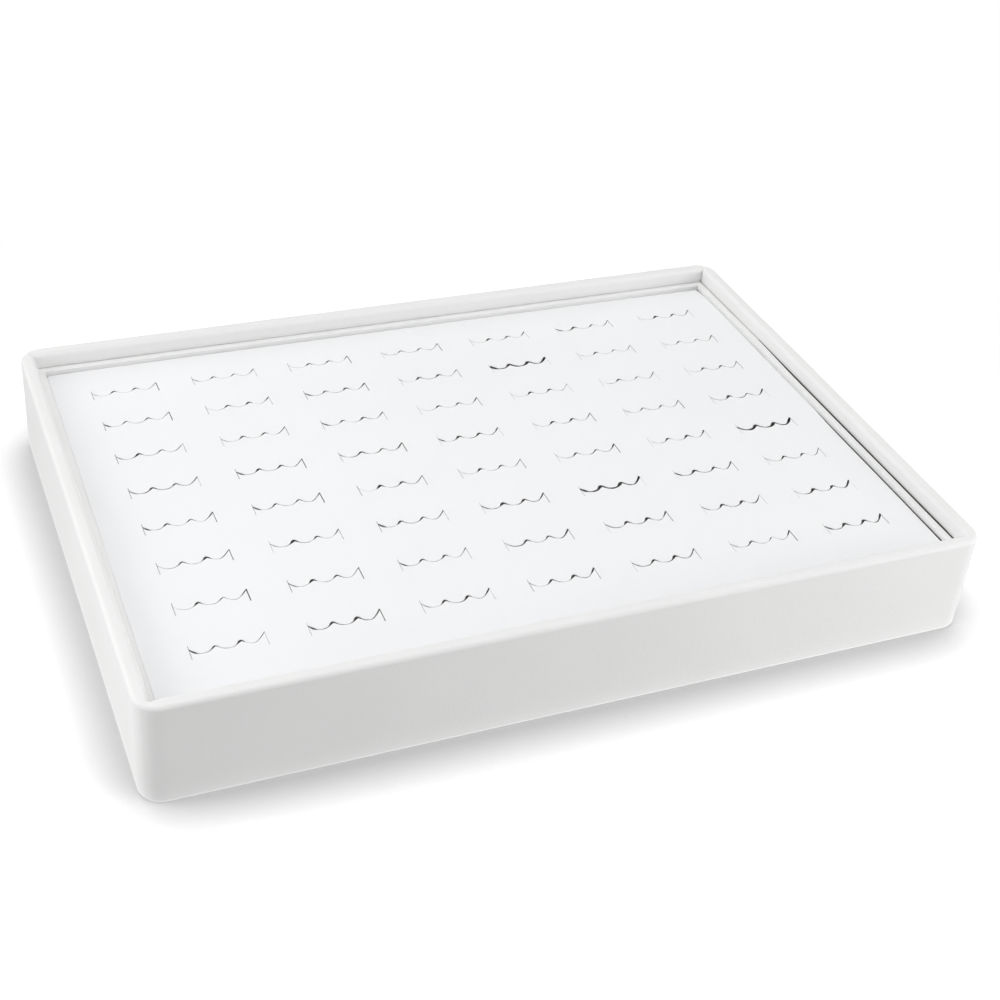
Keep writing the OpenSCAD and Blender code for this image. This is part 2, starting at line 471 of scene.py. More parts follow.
def leatherette(name, tint, cell, relief, roughness):
    """Grained leatherette: small pebbled cells, fine pores, and slow changes of tint and gloss."""
    material, shader, place = new_material(name)
    pores_to_a_cell = 2.2
    patches = add_noise(material, place, scale=28, detail=3)
    pores = add_noise(material, place, scale=pores_to_a_cell / cell, detail=3, roughness=0.6)
    cells = add_cells(material, place, scale=1 / cell)
    tints = patched_colours(material, patches, tint, shaded(tint, 0.975))
    gloss = add_range(material, pores, NOISE_SPAN, (roughness - 0.06, roughness + 0.08))
    waves = add_bump(material, patches, distance=0.3 * MM, strength=0.25)
    pebbles = add_bump(material, cells, distance=relief, strength=0.6, below=waves)
    pitted = add_bump(material, pores, distance=relief * 0.5, strength=0.5, below=pebbles)
    link_surface(material, shader, tints, gloss, pitted)
    shader.inputs["IOR"].default_value = 1.45
    shader.inputs["Specular IOR Level"].default_value = 0.15
    return material


def pad_skin(tint):
    """Smooth matt leatherette of the pad."""
    material, shader, place = new_material("pad_leatherette")
    patches = add_noise(material, place, scale=18)
    grain = add_noise(material, place, scale=2600, detail=3, roughness=0.6)
    tints = patched_colours(material, patches, tint, shaded(tint, 0.985))
    gloss = add_range(material, grain, NOISE_SPAN, (0.55, 0.7))
    soft = add_bump(material, add_noise(material, place, scale=60), distance=0.2 * MM, strength=0.2)
    grained = add_bump(material, grain, distance=0.05 * MM, strength=0.35, below=soft)
    link_surface(material, shader, tints, gloss, grained)
    shader.inputs["Specular IOR Level"].default_value = 0.25
    return material


def foam(tint):
    """Open-cell foam inside the cuts, coloured dark as painted shade deep in them."""
    material, shader, place = new_material("cut_foam")
    cells = add_cells(material, place, scale=2200, smoothness=0.3)
    tints = blend_colours(material, cells, shaded(tint, 0.8), tint)
    gloss = add_range(material, cells, NOISE_SPAN, (0.85, 0.98))
    pitted = add_bump(material, cells, distance=0.2 * MM, strength=0.8)
    link_surface(material, shader, tints, gloss, pitted)
    return material


def pressed_board(name, light, dark, fibre):
    """Pressed board or card: fibres, flecks and a matt face."""
    material, shader, place = new_material(name)
    fleck = 5 * fibre
    fibres = add_noise(material, place, scale=1 / fibre, detail=5, roughness=0.7)
    flecks = add_noise(material, place, scale=1 / fleck, detail=4, roughness=0.6)
    tints = patched_colours(material, flecks, light, dark)
    gloss = add_range(material, fibres, NOISE_SPAN, (0.75, 0.92))
    rough = add_bump(material, fibres, distance=0.08 * MM, strength=0.6)
    link_surface(material, shader, tints, gloss, rough)
    return material


def find_node(material, kind):
    """The first node of a kind in a material."""
    return next(node for node in material.node_tree.nodes if node.type == kind)


def past_rectangle(material, half_l, half_w):
    """How far a place lies outside a rectangle round the tray's middle, along X and along Y."""
    place = find_node(material, "TEX_COORD").outputs["Object"]
    folded = add_node(material, "VectorMath", place, operation="ABSOLUTE")
    gap = add_node(material, "VectorMath", folded.outputs[0], operation="SUBTRACT")
    gap.inputs[1].default_value = (half_l, half_w, 1)
    return gap.outputs[0]


def past_edges(material, half_l, half_w):
    """How far a place lies outside such a rectangle; inside it the value is below 0."""
    parts = add_node(material, "SeparateXYZ", past_rectangle(material, half_l, half_w))
    widest = add_node(material, "Math", parts.outputs["X"], parts.outputs["Y"], operation="MAXIMUM")
    return widest.outputs[0]


def turn_colour(material, factor, tint):
    """Turns the material's colour to another by a factor."""
    link = material.node_tree.links.new
    base = find_node(material, "BSDF_PRINCIPLED").inputs["Base Color"]
    mix = add_node(material, "Mix", data_type="RGBA")
    mix.inputs["B"].default_value = (*tint, 1)
    link(factor, mix.inputs["Factor"])
    link(base.links[0].from_socket, mix.inputs["A"])
    link(mix.outputs["Result"], base)


def paint_light_inside(material, tint):
    """Turns the leatherette's colour to a lighter one inside the rim: painted light on the inner walls."""
    past_wall = past_edges(material, *inner_half())
    turn_colour(material, soft_step(material, past_wall, 1.6 * MM, 0.3 * MM), tint)


def paint_foot_highlight(material, tint):
    """Turns the leatherette's colour to a lighter one along the lower outer edge: a painted highlight where
    the rounded foot would catch the floor's light.
    """
    place = find_node(material, "TEX_COORD").outputs["Object"]
    height = add_node(material, "SeparateXYZ", place).outputs["Z"]
    past_tray = past_edges(material, TRAY_HIGH.x, TRAY_HIGH.y)
    lowest = soft_step(material, height, TRAY_LOW.z + 1.3 * MM, TRAY_LOW.z + 0.5 * MM)
    outermost = soft_step(material, past_tray, -4 * MM, -2.6 * MM)
    painted = add_node(material, "Math", lowest, outermost, operation="MULTIPLY")
    turn_colour(material, painted.outputs[0], tint)


# The cover


def inner_half():
    """Half length and half width of the walls' inner faces."""
    s = bpy.context.scene.tray_cover
    return TRAY_HIGH.x - s.rim_t, TRAY_HIGH.y - s.rim_t


def is_panel(side):
    """A test for the one large face that closes the top, for side 1, or the underside, for side -1."""

    def found(mesh, face):
        in_middle = math.hypot(face.center.x, face.center.y) < 1 * MM
        return in_middle and face.normal.z * side > LEVEL_NORMAL

    return found


def on_well(point):
    """True on the inner edge of the rim."""
    half_l, half_w = inner_half()
    return abs(max(abs(point.x) - half_l, abs(point.y) - half_w)) < WELD


def on_level(level, test=lambda point: True):
    """A test for edges that lie on a level and whose two ends pass a test."""

    def found(mesh, edge):
        return all(abs(end.z - level) < SAME and test(end) for end in edge_ends(mesh, edge))

    return found


def corners(half_l, half_w, level):
    """The four corners of a rectangle round the tray's middle."""
    return [Vector((x * half_l, y * half_w, level)) for x in (-1, 1) for y in (-1, 1)]


def draw_together(piece, corner, near):
    """Merges the points for which near holds into one at a corner."""
    pick(piece, "VERT", near)
    bpy.ops.mesh.merge(type="CENTER")
    object_mode()
    (merged,) = [v for v in piece.data.vertices if v.select]
    merged.co = corner


def square_up(piece, top):
    """Draws each round corner of the inset rim together into one sharp inner corner."""
    s = bpy.context.scene.tray_cover
    half_l, half_w = inner_half()
    reach = s.corner_r - s.rim_t + 0.5 * MM
    for corner in corners(half_l, half_w, top):
        x, y = math.copysign(1, corner.x), math.copysign(1, corner.y)

        def near(mesh, vertex):
            gap = vertex.co - corner
            inside = abs(vertex.co.x) < half_l + SAME and abs(vertex.co.y) < half_w + SAME
            return inside and abs(gap.x) < reach and abs(gap.y) < reach and abs(gap.z) < SAME

        def is_spoke(mesh, edge):
            a, b = sorted(edge_ends(mesh, edge), key=lambda end: (end - corner).length)
            starts_here = (a - corner).length < SAME
            on_mitre = abs((b.x - a.x) * x - (b.y - a.y) * y) < ON_CORNER_LINE
            return starts_here and not on_mitre and not on_well(b)

        draw_together(piece, corner, near)
        pick(piece, "EDGE", is_spoke)
        bpy.ops.mesh.dissolve_edges(use_verts=False)


def close_corners(piece, level):
    """Draws the crossed loops of the wide inset underneath together into four sharp corners."""
    s = bpy.context.scene.tray_cover
    reach = s.turn_under - s.corner_r + 0.1 * MM
    for corner in corners(TRAY_HIGH.x - s.turn_under, TRAY_HIGH.y - s.turn_under, level):

        def near(mesh, vertex):
            return max(abs(part) for part in vertex.co - corner) < reach

        draw_together(piece, corner, near)


def corner_steps(low, high):
    """Places for slices: close together near both ends, where the folds are, and wide apart between."""
    folds, fine, wide = 22 * MM, 1.5 * MM, 4 * MM
    rim = bpy.context.scene.tray_cover.rim_t + 0.3 * MM
    places = steps(low, low + folds, fine) + [low + folds]
    places += steps(low + folds, high - folds, wide) + [high - folds]
    places += steps(high - folds, high, fine)
    return places + [low + rim, high - rim]


def fold_height(s, place, along):
    """Height of the small folds inside the walls; along is the way from the inner corner."""
    clear, fade, across, down = 3 * MM, 6 * MM, 300, 160
    close = math.exp(-max(0, along - clear) / fade) * ease(along, 0, 2 * MM)
    low = 1 - ease(place.z, STRIP_TOP + 1 * MM, TRAY_HIGH.z)
    pattern = noise.noise(Vector((place.x * across, place.y * across, place.z * down)))
    return s.fold * close * low * max(0, 0.2 + pattern)


def ruffle(piece):
    """Lifts the leatherette in slow waves, and in small folds beside the inner corners."""
    s = bpy.context.scene.tray_cover
    half_l, half_w = inner_half()
    margin, waves, waves_inside = 1 * MM, 28, 0.3
    foot_of_turn = TRAY_HIGH.z - s.turn_in - margin
    lifts = []
    for v in piece.data.vertices:
        p = v.co
        lift = s.slack * (0.5 + 0.6 * noise.noise(p * waves)) * ease(p.z, 3 * MM, 9 * MM)
        if p.z > foot_of_turn and abs(p.x) < half_l + margin and abs(p.y) < half_w + margin:
            along = (half_l - abs(p.x)) + (half_w - abs(p.y))
            lift = waves_inside * lift + fold_height(s, p, along)
            if along < ON_CORNER_LINE:
                lift = -s.crease * ease(TRAY_HIGH.z - p.z, -0.5 * MM, 2 * MM)
        lifts.append(v.normal * lift)
    for v, move in zip(piece.data.vertices, lifts):
        v.co += move


def shape_cover(piece, s):
    """Rounds the block, opens its top and underside, and cuts it into cells."""
    top, low = TRAY_HIGH.z, TRAY_LOW.z
    round_edges(piece, is_upright, s.corner_r, segments=12, clamp_overlap=False)
    round_edges(piece, on_level(top), s.outer_r, segments=7)
    round_edges(piece, on_level(low), s.foot_r, segments=6)
    pick(piece, "FACE", is_panel(1))
    bpy.ops.mesh.inset(thickness=s.rim_t - s.outer_r, depth=0)
    square_up(piece, top)
    pick(piece, "FACE", is_panel(1))
    bpy.ops.mesh.extrude_region_move(TRANSFORM_OT_translate={"value": (0, 0, -s.turn_in)})
    bpy.ops.mesh.delete(type="ONLY_FACE")
    pick(piece, "FACE", is_panel(-1))
    bpy.ops.mesh.inset(thickness=s.turn_under - s.foot_r, depth=0)
    bpy.ops.mesh.delete(type="ONLY_FACE")
    close_corners(piece, low)
    round_edges(piece, on_level(top, on_well), s.inner_r, segments=7)
    slice_across(X, corner_steps(TRAY_LOW.x, TRAY_HIGH.x))
    slice_across(Y, corner_steps(TRAY_LOW.y, TRAY_HIGH.y))
    slice_across(Z, steps(low + s.foot_r, GAP_SHADE_TOP, step=4 * MM))
    slice_across(Z, [GAP_SHADE_TOP] + steps(GAP_SHADE_TOP, top - s.outer_r, step=1.2 * MM))
    weld()
    bpy.ops.mesh.dissolve_degenerate(threshold=WELD)
    object_mode()


def finish_cover(piece, s):
    """Gives the cover its leatherette, with painted light inside the rim and along the foot, and a nearly
    black painted shade on the wall behind the right strip.
    """
    skin = leatherette(
        "tray_leatherette", tuple(s.tint), cell=0.55 * MM, relief=0.08 * MM, roughness=0.65)
    paint_light_inside(skin, tuple(s.inside_light_tint))
    paint_foot_highlight(skin, tuple(s.foot_highlight_tint))
    gap_shade = pressed_board("glue_line", tuple(s.gap_shade_tint), shaded(s.gap_shade_tint, 0.8), fibre=0.3 * MM)
    give(piece, skin, gap_shade)
    # Faces on the right wall's inner side, low down and towards the front, get the painted shade
    wall = inner_half()[X]
    for face in piece.data.polygons:
        x, y, z = face.center
        on_wall = face.normal.x < -0.5 and wall - 1 * MM < x < wall + 0.3 * MM
        face.material_index = int(on_wall and y < GAP_SHADE_BACK and z < GAP_SHADE_TOP)


def build_cover():
    """Models the cover as one sheet over the four boards."""
    s = bpy.context.scene.tray_cover
    piece = add_block("tray_cover", TRAY_LOW, TRAY_HIGH)
    shape_cover(piece, s)
    ruffle(piece)
    apply_modifier(piece, "SOLIDIFY", thickness=s.skin, offset=-1)
    shade_smooth(piece, degrees=35)
    finish_cover(piece, s)
    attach(piece, BODY)
    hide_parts("outer_wrap")


# The liner frame


def left_lean(y):
    """How far the pad and the left strip reach left of their true line; it grows to the front."""
    return bpy.context.scene.tray_liner.taper * (0.5 - y / (PAD_HIGH.y - PAD_LOW.y))


def back_sag(y):
    """How far the pad's edge and the strips lie lower towards the back."""
    return bpy.context.scene.tray_liner.sag * ease(y, 40 * MM, PAD_HIGH.y)


def strip_lean(side, p):
    """How far a place on a strip stands out of line."""
    most = bpy.context.scene.tray_liner.wander
    run = p.x if side in ("front", "back") else p.y
    seed = {"front": 2, "back": 11, "left": 23, "right": 31}[side]
    bends, gain = 30, 1.4
    return most * noise.noise(Vector((run * bends, seed, 0))) * gain


def mitre_ends(low, high, along, across, outward):
    """Cuts both ends of the strip off at 45 degrees, and leaves edit mode off."""
    edit_mode()
    for end in (-1, 1):
        corner = [0, 0, 0]
        corner[along] = high[along] if end > 0 else low[along]
        corner[across] = high[across] if outward > 0 else low[across]
        normal = [0, 0, 0]
        normal[along] = end
        normal[across] = -outward
        bpy.ops.mesh.select_all(action="SELECT")
        bpy.ops.mesh.bisect(plane_co=corner, plane_no=normal, use_fill=True, clear_outer=True)
    object_mode()


def build_strip(side):
    """One covered card strip, mitred at its ends, with its two top edges eased."""
    s = bpy.context.scene.tray_liner
    low, high = STRIP_BOXES[side]
    piece = add_block("liner_strip_" + side, low, high)
    along, across = (X, Y) if side in ("front", "back") else (Y, X)
    outward = 1 if side in ("back", "right") else -1
    outer = high[across] if outward > 0 else low[across]
    mitre_ends(low, high, along, across, outward)

    def top_edge(mesh, edge):
        a, b = edge_ends(mesh, edge)
        return min(a.z, b.z) > high.z - SAME and abs(a[along] - b[along]) > 20 * MM

    round_edges(piece, top_edge, s.edge_r, segments=3)
    slice_across(along, steps(low[along], high[along], step=4 * MM))
    slice_across(Z, [high.z - s.lap, high.z - s.covered, high.z - 6 * MM])
    weld()
    object_mode()
    rigid_below, outer_face = high.z - 12 * MM, 1.4 * MM
    for v in piece.data.vertices:
        p = v.co
        lean = strip_lean(side, p) * ease(p.z, rigid_below, high.z)
        inner_face = abs(p[across] - outer) > outer_face
        if side == "left" and inner_face:
            p.x -= left_lean(p.y)
        if side == "right" and not inner_face:
            p.x += s.closed - s.gape * (1 - ease(p.y, 10 * MM, 60 * MM))
        p[across] += lean
        p.z -= back_sag(p.y) * ease(p.z, rigid_below, high.z)
    shade_smooth(piece, degrees=35)
    return piece


def build_liner():
    """Models the four strips, of which the right one shows its bare card, coloured nearly black as painted
    shade in the gap.
    """
    s = bpy.context.scene.tray_liner
    finish = leatherette(
        "liner_leatherette", tuple(s.tint), cell=0.5 * MM, relief=0.045 * MM, roughness=0.65)
    card = pressed_board("strip_card", tuple(s.card_shade_tint), shaded(s.card_shade_tint, 0.8), fibre=0.3 * MM)
    for side in STRIP_BOXES:
        piece = build_strip(side)
        give(piece, finish, card)
        # The right strip's card below its covering carries the painted shade of the gap
        if side == "right":
            for face in piece.data.polygons:
                bare = s.lap if face.normal.x > 0.5 else s.covered
                face.material_index = int(face.center.z < STRIP_TOP - bare)
        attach(piece, BODY)
        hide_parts("liner_" + side)


# The pad


def crown(x, y, middle, drop):
    """Height of the pad at a place: level in the middle, falling to the sides, most at the corners."""
    over = 0
    for place, level, end in ((abs(x), CROWN_LEVEL[X], PAD_HIGH.x), (abs(y), CROWN_LEVEL[Y], PAD_HIGH.y)):
        over += (max(0, place - level) / (end - level)) ** CROWN_POWER
    return middle - drop * over ** (2 / CROWN_POWER)


def shape_pad(piece, low, high, s):
    """Rounds the block, cuts it into cells, and crowns its top."""

    def top_outline(mesh, edge):
        return min(end.z for end in edge_ends(mesh, edge)) > high.z - 0.1 * MM

    round_edges(piece, is_upright, 1.5 * MM, segments=3)
    round_edges(piece, top_outline, s.edge_r, segments=5)
    # The simulation and the cuts depend on how points are numbered, and this numbers them anew
    object_mode()
    edit_mode()
    slice_across(X, steps(low.x + s.edge_r, high.x - s.edge_r, s.cell))
    slice_across(Y, steps(low.y + s.edge_r, high.y - s.edge_r, s.cell))
    slice_across(Z, steps(low.z, high.z - s.edge_r, s.cell))
    object_mode()
    top = PAD_HIGH.z - s.swell
    level = 20 * MM
    for v in piece.data.vertices:
        share = min(1, max(0, (v.co.z - level) / (high.z - level)))
        v.co.z += share * (crown(v.co.x, v.co.y, top, s.crown) - high.z)


def swell_top(piece, s):
    """Swells the pad's top with cloth pressure, its sides and underside held, and caps how far it moves."""
    held = piece.vertex_groups.new(name="held")
    floor = PAD_HIGH.z - 6 * MM
    side_x, side_y = PAD_HIGH.x - 1.5 * s.edge_r, PAD_HIGH.y - 1.5 * s.edge_r
    for v in piece.data.vertices:
        if v.co.z < floor or abs(v.co.x) > side_x or abs(v.co.y) > side_y:
            held.add([v.index], 1, "REPLACE")
    before = [v.co.copy() for v in piece.data.vertices]
    cloth = piece.modifiers.new("Swell", "CLOTH")
    for key, value in SWELL_CLOTH.items():
        setattr(cloth.settings, key, value)
    cloth.settings.effector_weights.gravity = 0
    cloth.point_cache.frame_start = 1
    cloth.point_cache.frame_end = SWELL_FRAMES
    for number in range(1, SWELL_FRAMES + 1):
        bpy.context.scene.frame_set(number)
    only(piece)
    bpy.ops.object.modifier_apply(modifier="Swell")
    moves = [v.co - start for v, start in zip(piece.data.vertices, before)]
    most = max(move.length for move in moves)
    share = min(1.0, s.swell / most) if most > 0 else 0
    for v, start, move in zip(piece.data.vertices, before, moves):
        v.co = start + move * share


def near_edge(place, end):
    """Goes softly from 0 inside the pad to 1 at its edge."""
    return ease(abs(place), end - 12 * MM, end - 1 * MM)


def spread_sides(piece):
    """Moves the pad's sides: left along the tapered strip, and off the right strip in front."""
    left_out, right_out, ends_out, front_in = 0.2 * MM, 0.27 * MM, 0.24 * MM, 0.6 * MM
    wander, bends = 0.06 * MM, 40
    for v in piece.data.vertices:
        p = v.co
        edge = near_edge(p.x, PAD_HIGH.x)
        if p.x < 0:
            p.x -= edge * (left_lean(p.y) + left_out)
        else:
            front = 1 - ease(p.y, -20 * MM, 0)
            bend = wander * noise.noise(Vector((3, p.y * bends, 0)))
            p.x += edge * (right_out - front_in * front + bend)
        edge = near_edge(p.y, PAD_HIGH.y)
        p.z -= edge * back_sag(p.y) * ease(p.z, 20 * MM, 30 * MM)
        bend = wander * noise.noise(Vector((p.x * bends, 7, 0)))
        p.y += math.copysign(edge * (ends_out + bend), p.y)


def smoothed(points):
    """A line drawn softly through its points, with its ends kept."""
    inner = [(a + 2 * b + c) / 4 for a, b, c in zip(points, points[1:], points[2:])]
    return [points[0], *inner, points[-1]]


def slit_path(s):
    """The wavy line of one slit from its left end to its right, where it runs up along the end cut."""
    scallop = s.slit_l / SCALLOPS
    base = s.end_cut / 2 - s.end_back
    roundness, last_roundness, last_rise = 2.5, 1.4, 0.8
    points = []
    for i in range(SCALLOPS):
        last = i == SCALLOPS - 1
        for k in range(SCALLOP_POINTS + last):
            share = 2 * k / SCALLOP_POINTS - 1
            dip = s.bow * (1 - abs(share) ** roundness)
            if last and share > 0:
                dip = s.bow - (s.bow + last_rise * s.end_back) * share ** last_roundness
            points.append(Vector(((i - (SCALLOPS - 1) / 2 + share / 2) * scallop, base - dip)))
    return smoothed(smoothed(points))


def wave_widths(s, line, rng):
    """Half widths of the cut along the wavy line: nearly closed, and open at the cusps and at some ends."""
    scallop = s.slit_l / SCALLOPS
    thin = GAPING_WIDTH if rng.random() < GAPING_SHARE else rng.uniform(*CLOSED_WIDTH)
    left_end = (-1.34, rng.choice(LEFT_END_WIDTHS))
    left_cusp = (-0.53, rng.uniform(*LEFT_CUSP_WIDTH))
    right_cusp = (0.47, rng.uniform(*RIGHT_CUSP_WIDTH))
    right_end = (1.38, rng.choice(RIGHT_END_WIDTHS))
    seed = Vector((rng.uniform(0, 50), rng.uniform(0, 50), 0))
    widths = []
    for i, p in enumerate(line):
        width = thin * (1 + noise.noise(seed + Vector((i * 0.2, 0, 0))))
        for place, peak in (left_end, left_cusp, right_cusp, right_end):
            width += peak * math.exp(-((p.x / scallop - place) / PEAK_SPREAD) ** 2)
        widths.append(width * MM)
    return widths


def end_line(s, side):
    """The straight cut at one end of a slit, from front to back; the right one stops a little short."""
    front = s.end_cut / 2
    back = front - (0.2 * s.end_back if side > 0 else 0)
    last = END_POINTS - 1
    return [Vector((side * s.slit_l / 2, -front + (back + front) * k / last)) for k in range(END_POINTS)]


def offset_sides(points, widths):
    """The two sides of a cut along a line, square to it."""
    left, right = [], []
    for i, p in enumerate(points):
        a, b = points[max(0, i - 1)], points[min(len(points) - 1, i + 1)]
        along = (b - a).normalized()
        across = Vector((-along.y, along.x))
        left.append(p + across * widths[i])
        right.append(p - across * widths[i])
    return left, right


def add_blade(vertices, faces, points, widths, place, heights):
    """Adds one upright blade that follows a line and flares at the pad's surface."""
    rings = []
    for kind, flare in enumerate((0, 0, BLADE_FLARE, BLADE_FLARE)):
        left, right = offset_sides(points, [width + flare for width in widths])
        ring = []
        for p in left + right[::-1]:
            x, y = place.x + p.x, place.y + p.y
            ring.append(len(vertices))
            vertices.append((x, y, heights(x, y)[kind]))
        rings.append(ring)
    count = len(rings[0])
    for lower, upper in zip(rings, rings[1:]):
        for i in range(count):
            j = (i + 1) % count
            faces.append((lower[j], lower[i], upper[i], upper[j]))
    for ring, turn in ((rings[0], 1), (rings[-1], -1)):
        for i in range(count // 2 - 1):
            face = (ring[i], ring[i + 1], ring[count - 2 - i], ring[count - 1 - i])
            faces.append(face[::turn])


def make_cutter(name, vertices, faces):
    """One object of all the blades of a kind, with its faces outwards."""
    mesh = bpy.data.meshes.new(name)
    mesh.from_pydata(vertices, [], faces)
    mesh.update()
    cutter = bpy.data.objects.new(name, mesh)
    bpy.context.scene.collection.objects.link(cutter)
    only(cutter)
    edit_mode()
    bpy.ops.mesh.select_all(action="SELECT")
    bpy.ops.mesh.normals_make_consistent(inside=False)
    object_mode()
    return cutter


def cut_slits(piece, s):
    """Cuts all the wavy lines, and then all the end cuts."""
    tree = BVHTree.FromObject(piece, bpy.context.evaluated_depsgraph_get())
    low = PAD_HIGH.z - s.depth
    over = PAD_HIGH.z + 20 * MM

    def heights(x, y):
        """A blade's levels at a place: its foot, just below the surface, the surface, and above it."""
        surface = tree.ray_cast(Vector((x, y, over)), Vector((0, 0, -1)))[0].z
        return low, surface - BLADE_LIP, surface, surface + BLADE_ABOVE

    rng = random.Random(SLIT_SEED)
    waves, ends = ([], []), ([], [])
    line = slit_path(s)
    for column in range(s.columns):
        for row in range(s.rows):
            x = (column - (s.columns - 1) / 2) * s.column_pitch
            y = (row - (s.rows - 1) / 2) * s.row_pitch
            add_blade(*waves, line, wave_widths(s, line, rng), Vector((x, y)), heights)
            for side in (-1, 1):
                half = rng.uniform(*END_CUT_WIDTH[side]) * MM
                add_blade(*ends, end_line(s, side), [half] * END_POINTS, Vector((x, y)), heights)
    for name, (vertices, faces) in (("wave_blades", waves), ("end_blades", ends)):
        cutter = make_cutter(name, vertices, faces)
        apply_modifier(piece, "BOOLEAN", operation="DIFFERENCE", solver="MANIFOLD", object=cutter)
        bpy.data.objects.remove(cutter)


def finish_pad(piece, s):
    """Gives the pad its leatherette, and foam coloured dark as painted shade to the faces inside the cuts.
    """
    skin_depth, margin = 0.9 * MM, 4 * MM
    give(piece, pad_skin(tuple(s.tint)), foam(tuple(s.foam_shade_tint)))
    for face in piece.data.polygons:
        x, y, z = face.center
        deep = z < crown(x, y, PAD_HIGH.z, 2 * MM) - skin_depth
        inner = abs(x) < PAD_HIGH.x - margin and abs(y) < PAD_HIGH.y - margin
        if deep and inner and z > BASE_TOP + 5 * MM:
            face.material_index = 1


def build_pad():
    """Models the crowned pad, swells its top and cuts its slits."""
    s = bpy.context.scene.ring_pad
    low, high = Vector((PAD_LOW.x, PAD_LOW.y, BASE_TOP)), PAD_HIGH.copy()
    piece = add_block("ring_pad", low, high)
    shape_pad(piece, low, high, s)
    swell_top(piece, s)
    spread_sides(piece)
    apply_modifier(piece, "SUBSURF", levels=1, render_levels=1)
    cut_slits(piece, s)
    finish_pad(piece, s)
    shade_smooth(piece, degrees=30)
    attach(piece, BODY)
    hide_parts("pad_cover", "pad_foam")


# The boards, card and lining


def dress_nodes():
    """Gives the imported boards, card and lining their finishes."""
    for finish, (names, light, dark, fibre) in BOARD_FINISHES.items():
        material = pressed_board(finish, light, dark, fibre)
        for name in names:
            give(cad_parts[name], material)


# The studio


def add_softbox(name, place, aim, size, energy):
    """A rectangular lamp turned to a place."""
    light = bpy.data.lights.new(name, "AREA")
    light.shape = "RECTANGLE"
    light.size, light.size_y = size
    light.energy = energy
    lamp = bpy.data.objects.new(name, light)
    bpy.context.scene.collection.objects.link(lamp)
    lamp.location = place
    lamp.rotation_mode = "QUATERNION"
    lamp.rotation_quaternion = (Vector(aim) - Vector(place)).to_track_quat("-Z", "Y")


def build_camera():
    """The camera at the photograph's viewing angle."""
    data = bpy.data.cameras.new("camera")
    data.sensor_width = CAMERA_SENSOR
    data.lens = CAMERA_LENS
    camera = bpy.data.objects.new("camera", data)
    bpy.context.scene.collection.objects.link(camera)
    camera.location = CAMERA_PLACE
    camera.rotation_mode = "QUATERNION"
    turn = (CAMERA_AIM - CAMERA_PLACE).to_track_quat("-Z", "Y")
    camera.rotation_quaternion = turn @ Quaternion((0, 0, 1), CAMERA_ROLL)
    bpy.context.scene.camera = camera


def beside_tray(material):
    """1 on the floor close to the tray's foot, 0 from a few millimetres on."""
    corner_r = bpy.context.scene.tray_cover.corner_r
    past = past_rectangle(material, TRAY_HIGH.x - corner_r, TRAY_HIGH.y - corner_r)
    outside = add_node(material, "VectorMath", past, operation="MAXIMUM")
    gap = add_node(material, "VectorMath", outside.outputs[0], operation="LENGTH")
    return soft_step(material, gap.outputs["Value"], corner_r + 5 * MM, corner_r + 1 * MM)


def shadowed_floor(material):
    """White that keeps the lamps' shadows and darkens under the tray's edge."""
    contact = add_node(material, "AmbientOcclusion", samples=CONTACT_SAMPLES)
    contact.inputs["Distance"].default_value = CONTACT_REACH
    shade = add_range(material, contact.outputs["AO"], CONTACT_OPEN, CONTACT_SHADE)
    lit = add_node(material, "BsdfDiffuse", shade)
    glow = add_node(material, "Emission", shade)
    glow.inputs["Strength"].default_value = FLOOR_GLOW
    return add_node(material, "AddShader", lit.outputs[0], glow.outputs[0])


def floor_material():
    """White floor: it keeps the tray's shadow, is plain white farther off, and is clear from below."""
    material = empty_material("floor_white")
    place = add_node(material, "TexCoord").outputs["Object"]
    reach = add_node(material, "VectorMath", place, operation="LENGTH").outputs["Value"]
    fade = soft_step(material, reach, *FLOOR_FADE)
    near = shadowed_floor(material)
    white = add_node(material, "Emission")
    above = add_node(material, "MixShader", fade, near.outputs[0], white.outputs[0])
    clear = add_node(material, "BsdfTransparent")
    clear.inputs["Color"].default_value = (1, 1, 1, 1)
    behind = add_node(material, "NewGeometry").outputs["Backfacing"]
    seen = add_node(material, "MixShader", behind, above.outputs[0], clear.outputs[0])
    # Towards the tray the floor glows as painted bounce light, stronger beside its foot
    bounce = add_node(material, "Emission")
    strength = add_range(material, beside_tray(material), (0, 1), FLOOR_BOUNCE)
    material.node_tree.links.new(strength, bounce.inputs["Strength"])
    by_camera = add_node(material, "LightPath").outputs["Is Camera Ray"]
    floor = add_node(material, "MixShader", by_camera, bounce.outputs[0], seen.outputs[0])
    add_node(material, "OutputMaterial", floor.outputs[0])
    return material


def build_room(ambient):
    """Even light on the tray from a room that the camera sees as plain white."""
    world = bpy.data.worlds.new("room")
    bpy.context.scene.world = world
    world.use_nodes = True
    world.node_tree.nodes.clear()
    even = add_node(world, "Background")
    even.inputs["Strength"].default_value = ambient
    white = add_node(world, "Background")
    white.inputs["Color"].default_value = (1, 1, 1, 1)
    by_camera = add_node(world, "LightPath").outputs["Is Camera Ray"]
    mix = add_node(world, "MixShader", by_camera, even.outputs[0], white.outputs[0])
    add_node(world, "OutputWorld", mix.outputs[0])


def build_stage():
    """Floor, room, softboxes and camera."""
    s = bpy.context.scene.tray_stage
    bpy.ops.object.select_all(action="DESELECT")
    bpy.ops.mesh.primitive_plane_add(size=FLOOR_SIZE, location=(0, 0, -FLOOR_DROP))
    floor = bpy.context.object
    floor.name = "floor"
    give(floor, floor_material())
    build_room(s.ambient)
    for name, (place, aim, size) in SOFTBOXES.items():
        add_softbox(name + "_light", place, aim, size, getattr(s, name + "_power"))
    build_camera()
    bpy.context.scene.view_settings.view_transform = "Standard"


# Operators


class TRAY_OT_stage(bpy.types.Operator):
    """Floor, room, lights and camera"""

    bl_idname = "tray.stage"
    bl_label = "Studio"

    def execute(self, context):
        build_stage()
        return {"FINISHED"}


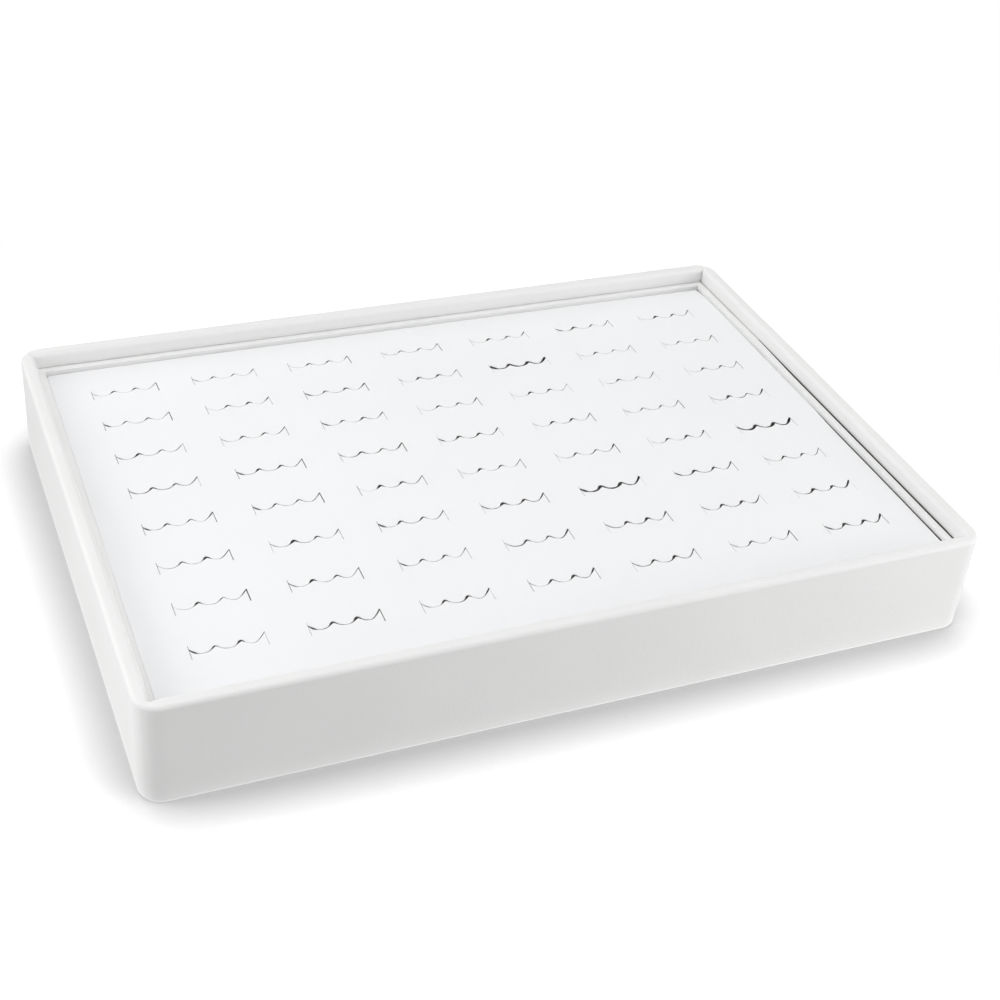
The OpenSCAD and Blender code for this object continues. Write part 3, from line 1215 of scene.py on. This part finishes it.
class TRAY_OT_cover(bpy.types.Operator):
    """The leatherette cover over the walls and rim"""

    bl_idname = "tray.cover"
    bl_label = "Cover"

    def execute(self, context):
        build_cover()
        return {"FINISHED"}


class TRAY_OT_pad(bpy.types.Operator):
    """The crowned foam pad with its slits"""

    bl_idname = "tray.pad"
    bl_label = "Ring pad"

    def execute(self, context):
        build_pad()
        return {"FINISHED"}


class TRAY_OT_liner(bpy.types.Operator):
    """The four strips that frame the pad"""

    bl_idname = "tray.liner"
    bl_label = "Liner frame"

    def execute(self, context):
        build_liner()
        return {"FINISHED"}


class TRAY_OT_finishes(bpy.types.Operator):
    """Finishes of the boards, card and lining"""

    bl_idname = "tray.finishes"
    bl_label = "Boards and lining"

    def execute(self, context):
        dress_nodes()
        return {"FINISHED"}


class VIEW3D_PT_ring_tray(bpy.types.Panel):
    """Sidebar panel of the ring tray"""

    bl_label = "Ring tray"
    bl_space_type = "VIEW_3D"
    bl_region_type = "UI"
    bl_category = "Ring tray"

    def draw(self, context):
        for operator in OPERATORS:
            self.layout.operator(operator.bl_idname)
        for name in SETTINGS:
            group = getattr(context.scene, name)
            for key in group.__annotations__:
                self.layout.prop(group, key)


SETTINGS = {
    "tray_cover": CoverSettings,
    "tray_liner": LinerSettings,
    "ring_pad": PadSettings,
    "tray_stage": StageSettings,
}
OPERATORS = (TRAY_OT_stage, TRAY_OT_cover, TRAY_OT_liner, TRAY_OT_finishes, TRAY_OT_pad)
CLASSES = (*SETTINGS.values(), *OPERATORS, VIEW3D_PT_ring_tray)


def register():
    """Registers the settings, operators and panel."""
    for each in CLASSES:
        bpy.utils.register_class(each)
    for name, group in SETTINGS.items():
        setattr(bpy.types.Scene, name, bpy.props.PointerProperty(type=group))


def unregister():
    """Takes them off again."""
    for name in SETTINGS:
        delattr(bpy.types.Scene, name)
    for each in reversed(CLASSES):
        bpy.utils.unregister_class(each)


def main():
    """Builds the stage and the pieces."""
    register()
    bpy.ops.tray.stage()
    bpy.ops.tray.cover()
    bpy.ops.tray.liner()
    bpy.ops.tray.finishes()
    bpy.ops.tray.pad()


if __name__ == "__main__":
    main()
